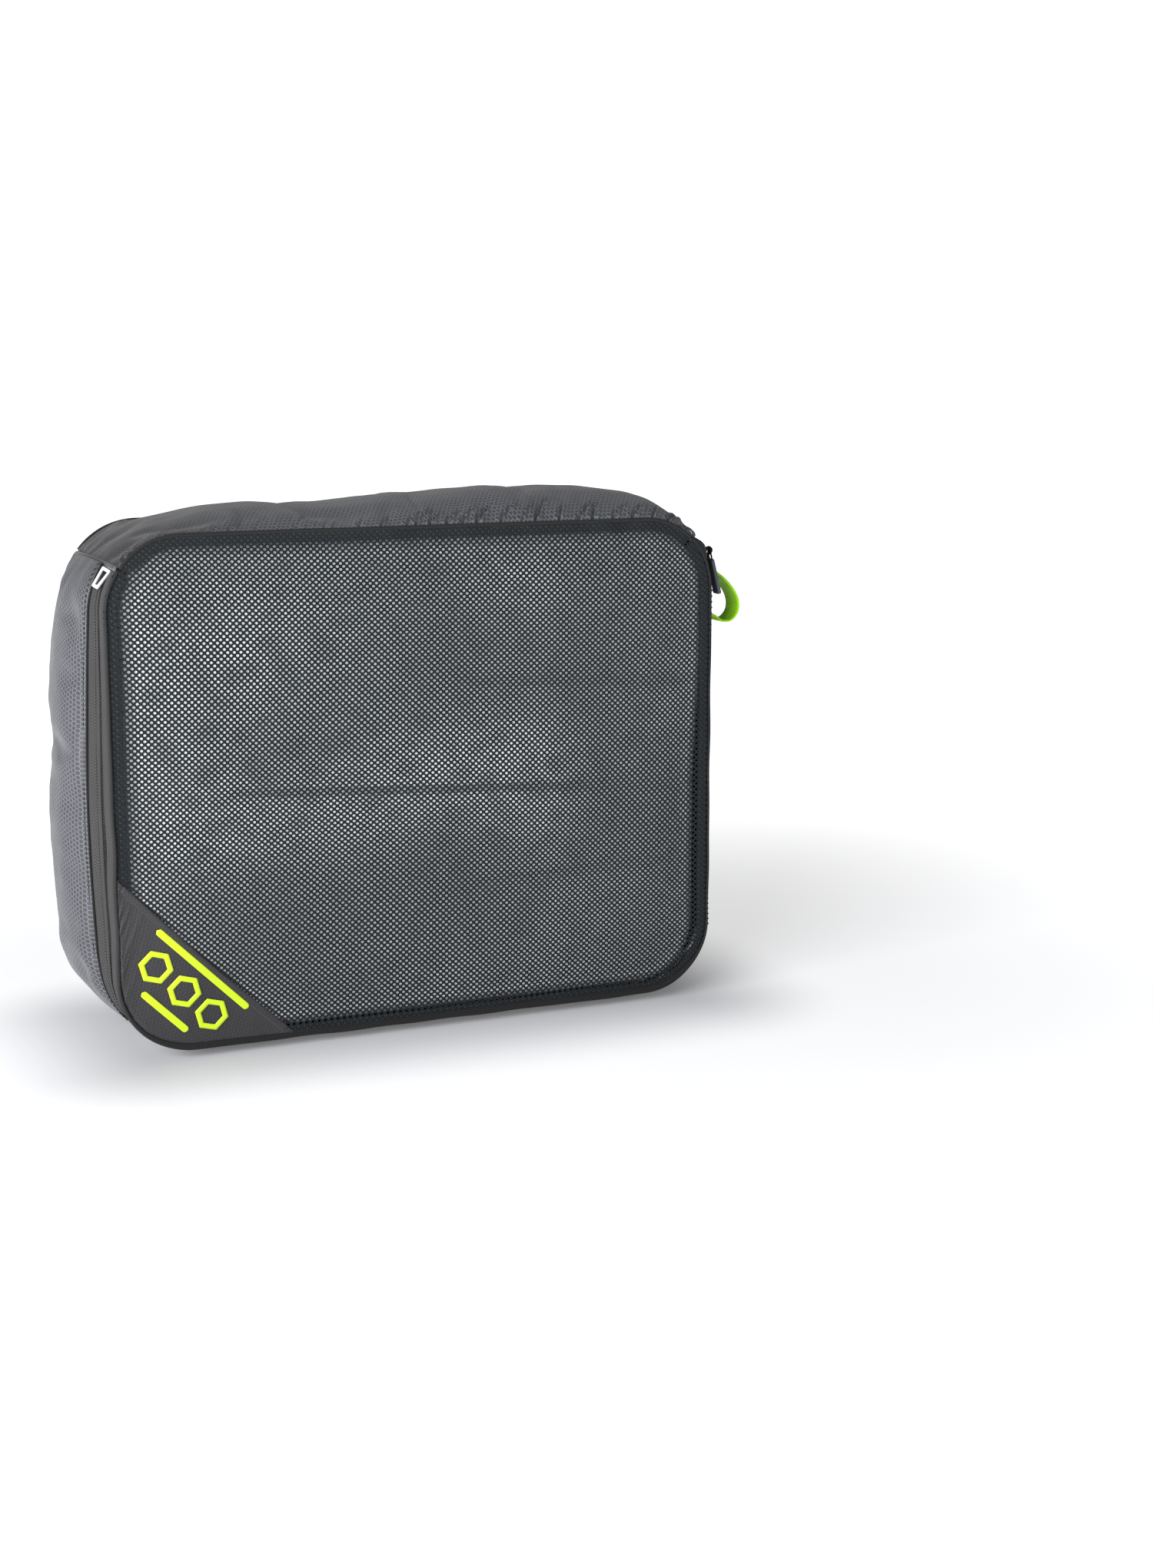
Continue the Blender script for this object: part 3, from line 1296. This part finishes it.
def plate(name, outline, thickness, bevel, origin, alongA, alongB, look, hole=None):
    # a flat piece drawn by its outline in two directions, thickened both ways and rounded
    normal = Vector(alongA).cross(Vector(alongB)).normalized()
    vertices, faces = [], []

    def put(points, shift):
        first = len(vertices)
        for a, b in points:
            vertices.append(Vector(origin) + Vector(alongA) * a + Vector(alongB) * b + normal * shift)
        return first

    count = len(outline)
    top = put(outline, thickness / 2)
    bottom = put(outline, -thickness / 2)
    if hole is None:
        faces.append(tuple(range(top, top + count)))
        faces.append(tuple(range(bottom, bottom + count))[::-1])
    else:
        topHole = put(hole, thickness / 2)
        bottomHole = put(hole, -thickness / 2)
    for i in range(count):
        j = (i + 1) % count
        faces.append((top + i, bottom + i, bottom + j, top + j))
        if hole is not None:
            faces.append((top + i, top + j, topHole + j, topHole + i))
            faces.append((bottom + j, bottom + i, bottomHole + i, bottomHole + j))
            faces.append((topHole + i, topHole + j, bottomHole + j, bottomHole + i))
    obj = newObject(name, vertices, faces, look)
    edgeAngle = math.radians(38)
    addModifier(obj, "BEVEL", width=bevel, segments=3, limit_method="ANGLE", angle_limit=edgeAngle)
    applyAll(obj)
    obj.data.polygons.foreach_set("use_smooth", [True] * len(obj.data.polygons))
    obj.data.set_sharp_from_angle(angle=math.radians(42))
    return obj


def roundedOutline(corners, radius):
    # a polygon with each corner rounded; corners anticlockwise and in millimetres, the result in metres
    steps = 5
    points = []
    count = len(corners)
    for i in range(count):
        before = Vector(corners[i - 1])
        here = Vector(corners[i])
        after = Vector(corners[(i + 1) % count])
        one = here + (before - here).normalized() * radius
        two = here + (after - here).normalized() * radius
        for k in range(steps + 1):
            t = k / steps
            point = one * (1 - t) ** 2 + here * 2 * t * (1 - t) + two * t**2
            points.append(tuple(v * mm for v in point))
    return points


def tube(name, points, radius, look):
    curve = bpy.data.curves.new(name, "CURVE")
    curve.dimensions = "3D"
    curve.bevel_depth = radius
    curve.bevel_resolution = 4
    curve.use_fill_caps = True
    spline = curve.splines.new("BEZIER")
    spline.bezier_points.add(len(points) - 1)
    for target, point in zip(spline.bezier_points, points):
        target.co = point
        target.handle_left_type = "AUTO"
        target.handle_right_type = "AUTO"
    spline.resolution_u = 8
    holder = linkObject(name, curve)
    graph = bpy.context.evaluated_depsgraph_get()
    mesh = bpy.data.meshes.new_from_object(holder.evaluated_get(graph))
    bpy.data.objects.remove(holder)
    obj = linkObject(name, mesh)
    mesh.materials.clear()
    mesh.materials.append(look)
    mesh.polygons.foreach_set("use_smooth", [True] * len(mesh.polygons))
    return obj


zipDepth = 16.05 * mm  # from the front edge back to the middle of the zip

tabSettings = {
    "length": 14.2,
    "wide": 7.6,
    "narrow": 5.2,
    "wall": 1.65,
    "end": 2.1,
    "tilt": 36,
    "lift": 3.0 * mm,
}


def makeTabs():
    half, wide, narrow = tabSettings["length"] / 2, tabSettings["wide"] / 2, tabSettings["narrow"] / 2
    outer = roundedOutline([(-half, -narrow), (half, -wide), (half, wide), (-half, narrow)], 0.9)
    wall = tabSettings["wall"]
    half, wide, narrow = half - tabSettings["end"], wide - wall, narrow - wall
    inner = roundedOutline([(-half, -narrow), (half, -wide), (half, wide), (-half, narrow)], 0.5)
    tilt = math.radians(tabSettings["tilt"])
    for name, node, sign, degrees, lean in (
        ("endTabLeft", "zip_end_tab_left", -1, 25, 36),
        ("endTabRight", "zip_end_tab_right", 1, 35, 35),
    ):
        angle = math.radians(degrees)
        place = Vector((sign * math.cos(angle), 0, math.sin(angle)))
        angle = math.radians(lean)
        outward = Vector((sign * math.cos(angle), 0, math.sin(angle)))
        upward = Vector((-sign * math.sin(angle), 0, math.cos(angle)))
        # turned a little towards the front, as the bunched tape under it makes it sit
        across = Vector((0, math.cos(tilt), 0)) + outward * math.sin(tilt)
        origin = Vector((sign * straightX, frontY + zipDepth - 1 * mm, upperZ))
        origin = origin + place * (cornerRadius + tabSettings["lift"])
        if sign > 0:
            across = -across
        obj = plate(name, outer, 1.6 * mm, 0.45 * mm, origin, upward, across, silverLook, inner)
        finish(obj, "bag_body", [node])


sliderSettings = {
    "height": 306 * mm,
    "out": 2.7,
    "shield": [(-3.6, -5.8), (3.6, -5.8), (5.4, 1.5), (3.6, 5.8), (-3.6, 5.8), (-5.4, 1.5)],
    # out of the side seam line, and height, along the bridge that carries the pull's cord
    "bridge": [
        (3.0, -4.2), (4.0, -3.4), (4.2, 0.5), (4.2, 3.6), (4.7, 6.4), (6.2, 7.4),
        (6.8, 9.1), (5.6, 10.5), (3.5, 10.2), (2.2, 8.0), (1.6, 4.6),
    ],
    "bridgeRadius": 1.2 * mm,
}


def makeSlider():
    out = sliderSettings["out"]
    origin = Vector((halfWidth + out * mm, frontY + zipDepth, sliderSettings["height"]))
    shield = roundedOutline(sliderSettings["shield"], 1.6)
    across, up = (0, 1, 0), (0, 0, 1)
    body = plate("sliderTop", shield, 1.5 * mm, 0.5 * mm, origin, across, up, sliderLook)
    finish(body, "zip_slider", ["slider_body"])
    behind = origin - Vector((7.5 * mm, 0, 0))
    under = plate("sliderUnder", shield, 1.2 * mm, 0.4 * mm, behind, across, up, sliderLook)
    postPoints = [origin + Vector((d * mm, 0, 3 * mm)) for d in (-7.2, -3.5, 0)]
    post = tube("sliderPost", postPoints, 1.7 * mm, sliderLook)
    for piece in (under, post):
        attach(piece, "zip_slider")
    points = [origin + Vector(((a - out) * mm, 0, b * mm)) for a, b in sliderSettings["bridge"]]
    bridge = tube("sliderBridge", points, sliderSettings["bridgeRadius"], sliderLook)
    finish(bridge, "zip_slider", ["slider_lug"])


pullSettings = {
    "pivotHeight": 315 * mm,
    "pivotOut": 5.2 * mm,
    "lean": 13,
    "top": 6.3,
    "length": 25.0,
    "cordSpread": 1.9 * mm,
    "cordRadius": 0.62 * mm,
    # sideways in shares of the spread, and down, along half of the cord
    "cord": [(0.72, 0.75), (1.0, 3.0), (1.0, 5.6), (0.8, 8.0)],
}


def makePull():
    lean = math.radians(pullSettings["lean"])
    pivot = Vector((halfWidth + pullSettings["pivotOut"], frontY + zipDepth, pullSettings["pivotHeight"]))
    down = Vector((math.sin(lean), 0, -math.cos(lean)))
    out = Vector((math.cos(lean), 0, math.sin(lean)))
    side = Vector((0, 1, 0))
    spread = pullSettings["cordSpread"]
    halfCord = pullSettings["cord"]
    route = [(-a, b) for a, b in reversed(halfCord)] + [(0, 0)] + halfCord
    points = [pivot + side * a * spread + down * b * mm for a, b in route]
    cord = tube("pullCord", points, pullSettings["cordRadius"], threadLook)
    finish(cord, "zip_pull", ["pull_cord"])
    high = -pullSettings["top"]
    low = high - pullSettings["length"]
    outline = roundedOutline([(-3.4, high), (-4.5, low), (4.5, low), (3.4, high)], 1.6)
    bar = plate("pullBar", outline, 2.6 * mm, 0.7 * mm, pivot, side, -down, pullLook)
    finish(bar, "zip_pull", ["pull_bar"])
    high, low = high - 4.0, low + 2.6
    outline = roundedOutline([(-1.9, high), (-2.7, low), (2.7, low), (1.9, high)], 0.9)
    front = pivot + out * 1.35 * mm
    face = plate("pullFace", outline, 0.7 * mm, 0.25 * mm, front, side, -down, pullFaceLook)
    finish(face, "zip_pull", ["pull_face"])


makeTabs()
makeSlider()
makePull()
print("hardware made")


loopSettings = {
    "depth": 33.5 * mm,
    "width": 19 * mm,
    "thickness": 1.5 * mm,
    "ribPitch": 1.25 * mm,
    "ribHeight": 0.14 * mm,
    # out of the side seam line, and height, round the loop
    "route": [
        (8.5, 302), (14.5, 299), (21, 294.5), (28, 287.5), (32.8, 279),
        (33, 270.5), (28, 264.5), (21, 264.2), (15.5, 267.5), (8.5, 271),
    ],
}


def smoothRoute(route, step):
    # evenly spaced points on a Catmull-Rom curve through the route
    points = [Vector(p) for p in route]
    points = [points[0] * 2 - points[1]] + points + [points[-1] * 2 - points[-2]]
    dense = []
    for k in range(1, len(points) - 2):
        p0, p1, p2, p3 = points[k - 1], points[k], points[k + 1], points[k + 2]
        for i in range(40):
            t = i / 40
            point = 2 * p1 + (p2 - p0) * t + (2 * p0 - 5 * p1 + 4 * p2 - p3) * t**2
            dense.append(0.5 * (point + (3 * p1 - p0 - 3 * p2 + p3) * t**3))
    dense.append(points[-2])
    dense = np.array([tuple(p) for p in dense])
    lengths = np.concatenate([[0], np.cumsum(np.linalg.norm(np.diff(dense, axis=0), axis=1))])
    count = int(lengths[-1] / step) + 1
    at = np.linspace(0, lengths[-1], count)
    return np.stack([np.interp(at, lengths, dense[:, k]) for k in range(2)], -1), at


def makeWebbing(name, route):
    settings = loopSettings
    line, at = smoothRoute([(a * mm, b * mm) for a, b in route], settings["ribPitch"] / 5)
    tangent = np.gradient(line, axis=0)
    tangent = tangent / np.linalg.norm(tangent, axis=1, keepdims=True)
    normal = np.stack([-tangent[:, 1], tangent[:, 0]], -1)
    rib = settings["ribHeight"] * np.abs(np.sin(math.pi * at / settings["ribPitch"]))
    half = settings["width"] / 2
    thick = settings["thickness"] / 2
    section = [(-half, -0.3), (-half + 0.4 * mm, -0.85)]
    section += [(v, -1.0) for v in np.linspace(-half + 1 * mm, half - 1 * mm, 7)]
    section += [(half - 0.4 * mm, -0.85), (half, -0.3), (half, 0.3), (half - 0.4 * mm, 0.85)]
    section += [(v, 1.0) for v in np.linspace(half - 1 * mm, -half + 1 * mm, 7)]
    section += [(-half + 0.4 * mm, 0.85), (-half, 0.3)]
    places, lengths = [], []
    for across, side in section:
        away = side * (thick + rib)[:, None] * normal
        x = halfWidth + line[:, 0] + away[:, 0]
        z = line[:, 1] + away[:, 1]
        y = np.full(len(line), frontY + settings["depth"] + across)
        places.append(np.stack([x, y, z], -1))
        lengths.append(np.stack([at, np.full(len(line), across)], -1))
    return sweepRows(name, places, lengths, webbingLook, closed=True)


def makeLoop():
    loop = makeWebbing("grabLoopWebbing", loopSettings["route"][1:-1])
    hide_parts("grab_loop")
    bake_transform(loop)
    for name, node, stretch in (
        ("loopEndUpper", "loop_end_upper", loopSettings["route"][:2]),
        ("loopEndLower", "loop_end_lower", loopSettings["route"][-2:]),
    ):
        end = makeWebbing(name, stretch)
        finish(end, "bag_body", [node])
    print("grab loop made")


makeLoop()


laundrySettings = {
    "sideGap": 9.5 * mm,
    "topGap": 7.5 * mm,
    "meshGap": 0.45 * mm,
    "rightShift": 6 * mm,  # the pile leans over at the upper right
    "around": 460,
    "frontRings": 100,
    "round": 11 * mm,
    "fullPlace": (-130 * mm, 265 * mm),  # the pile is full here and sinks back elsewhere
    "fullReach": 85 * mm,
    "hollows": 1.1 * mm,
    "lumps": 0.5 * mm,
    "creaseHeight": 166 * mm,  # the gap between two folded pieces
    "creaseDepth": 5 * mm,
    "layers": [(96 * mm, 0.04), (238 * mm, -0.05)],  # height and slope of smaller gaps, on the right
    "layerDepth": 3 * mm,
}


def makeLaundry():
    # a padded block of folded cloth: rings from the middle of its front round to the middle of its back
    settings = laundrySettings
    u = np.linspace(0, loopLength, settings["around"], endpoint=False)[None, :]
    edgeX, edgeZ, nx, nz = seamAt(u)
    gap = settings["sideGap"] * nx**2 + settings["topGap"] * nz**2
    edgeX, edgeZ = edgeX - gap * nx, edgeZ - gap * nz
    front, back = frontSettings["seamDepth"] + settings["meshGap"], backDepth - 3 * mm
    middleZ = (seamHigh + seamLow) / 2
    curve = settings["round"]
    rings = [(share, 0, front) for share in np.linspace(0, 0.94, settings["frontRings"])]
    for angle in np.radians(np.linspace(8, 90, 8)):
        rings.append((1, curve * (1 - math.sin(angle)), front + curve * (1 - math.cos(angle))))
    for t in np.linspace(0.1, 0.9, 12):
        rings.append((1, -2 * mm * math.sin(math.pi * t), front + curve + (back - front - 2 * curve) * t))
    for angle in np.radians(np.linspace(90, 8, 8)):
        rings.append((1, curve * (1 - math.sin(angle)), back - curve * (1 - math.cos(angle))))
    rings += [(share, 0, back) for share in np.linspace(0.94, 0, 24)]
    share, inset, s = (np.array(values)[:, None] for values in zip(*rings))
    x = (edgeX - inset * nx) * share
    z = middleZ + (edgeZ - inset * nz - middleZ) * share
    s = s + 0 * x
    x = x + settings["rightShift"] * np.clip(x / halfWidth, 0, 1) * smooth((z - 150 * mm) / (100 * mm))
    inside = (1 - share) * halfWidth
    nearFront = smooth(((front + back) / 2 - s) / (40 * mm))
    s = s + nearFront * (frontDepth(x, z) - frontSettings["seamDepth"])
    fullX, fullZ = settings["fullPlace"]
    full = np.exp(-((x - fullX) ** 2 + (z - fullZ) ** 2) / settings["fullReach"] ** 2)
    hollows = settings["hollows"] * smooth(0.5 + 0.4 * ripple(x, z, 71, 150 * mm)) * (1 - full)
    lumps = settings["lumps"] * np.abs(ripple(x, z, 72, 34 * mm))
    crease = np.exp(-(((z - settings["creaseHeight"] + 0.055 * x) / (1.6 * mm)) ** 2))
    crease = settings["creaseDepth"] * crease * smooth((x + 140 * mm) / (60 * mm))
    for height, slope in settings["layers"]:
        layer = np.exp(-(((z - height - slope * x) / (2 * mm)) ** 2))
        crease = crease + settings["layerDepth"] * layer * smooth((x - 10 * mm) / (50 * mm))
    nearTop = 0.6 * mm * np.exp(-np.maximum(seamHigh - z, 0) / (22 * mm))
    s = s + nearFront * (hollows + lumps + crease) * smooth(inside / (20 * mm) + 0.25) + nearTop
    places = np.stack([x, frontY + s, z], -1).reshape(-1, 3)
    faces = gridFaces(len(rings), settings["around"], closeColumns=True)
    obj = newObject("foldedLaundry", places, faces, laundryLook)
    addModifier(obj, "WELD", merge_threshold=0.02 * mm)
    applyAll(obj)
    finish(obj, "bag_body", ["folded_laundry"])
    print("laundry packed")


makeLaundry()


studio = {
    "worldLight": 0.19,
    "keyPower": 82,
    "keySize": 1.6,
    "keyPlace": (-1.62, -1.22, 0.62),
    "fillPower": 5,
    "fillPlace": (1.4, -2.4, 1.2),
    "floorColour": (0.62, 0.63, 0.66),
    # beside the bag and away from it: the open floor is as white as the background
    "floorGlow": (0.10, 0.58),
    "glowReach": (-0.01, 0.12),
    "farGlow": 0.46,
    "farReach": (0.1, 0.9),
}


def areaLight(name, place, aim, size, power):
    data = bpy.data.lights.new(name, "AREA")
    data.energy = power
    data.size = size
    lamp = linkObject(name, data)
    lamp.location = place
    lamp.rotation_euler = (Vector(place) - Vector(aim)).to_track_quat("Z", "Y").to_euler()


def makeStudio():
    mesh = bpy.data.meshes.new("floor")
    size = 30.0
    corners = [(-size, -size, 0), (size, -size, 0), (size, size, 0), (-size, size, 0)]
    mesh.from_pydata(corners, [], [(0, 1, 2, 3)])
    floor = linkObject("floor", mesh)
    colour = (*studio["floorColour"], 1)
    look, tree, shader = startMaterial(
        "paleFloor", 0.9, Base_Color=colour, Specular_IOR_Level=0.1, Emission_Strength=1.0
    )
    # distance from the rectangle the bag stands on
    middle = (0.0, frontY + backDepth / 2, 0.0)
    fromMiddle = vectorNode(tree, "ABSOLUTE", vectorNode(tree, "SUBTRACT", objectPlace(tree), middle))
    beyond = vectorNode(tree, "SUBTRACT", fromMiddle, (halfWidth - 0.02, backDepth / 2, 0.0))
    outside = vectorNode(tree, "MAXIMUM", beyond, (0.0, 0.0, 0.0))
    away = vectorNode(tree, "DISTANCE", outside, (0.0, 0.0, 0.0))
    glow = mapRange(tree, away, *studio["glowReach"], *studio["floorGlow"])
    glow = mathNode(tree, "ADD", glow, mapRange(tree, away, *studio["farReach"], 0.0, studio["farGlow"]))
    join(tree, tint(tree, (1.0, 1.0, 1.0), glow), shader.inputs["Emission Color"])
    mesh.materials.append(look)
    world = bpy.data.worlds.new("studioWorld")
    world.use_nodes = True
    tree = world.node_tree
    light = tree.nodes["Background"]
    light.inputs["Color"].default_value = (1, 1, 1, 1)
    light.inputs["Strength"].default_value = studio["worldLight"]
    seen = tree.nodes.new("ShaderNodeBackground")
    seen.inputs["Color"].default_value = (1, 1, 1, 1)
    seen.inputs["Strength"].default_value = 1.05
    path = tree.nodes.new("ShaderNodeLightPath")
    mix = tree.nodes.new("ShaderNodeMixShader")
    join(tree, path.outputs["Is Camera Ray"], mix.inputs[0])
    join(tree, light.outputs[0], mix.inputs[1])
    join(tree, seen.outputs[0], mix.inputs[2])
    join(tree, mix.outputs[0], tree.nodes["World Output"].inputs["Surface"])
    bpy.context.scene.world = world
    aim = (0, 0, 0.17)
    areaLight("keyLight", studio["keyPlace"], aim, studio["keySize"], studio["keyPower"])
    areaLight("fillLight", studio["fillPlace"], aim, 1.6, studio["fillPower"])
    bpy.context.scene.view_settings.view_transform = "Standard"
    print("studio lit")


makeStudio()
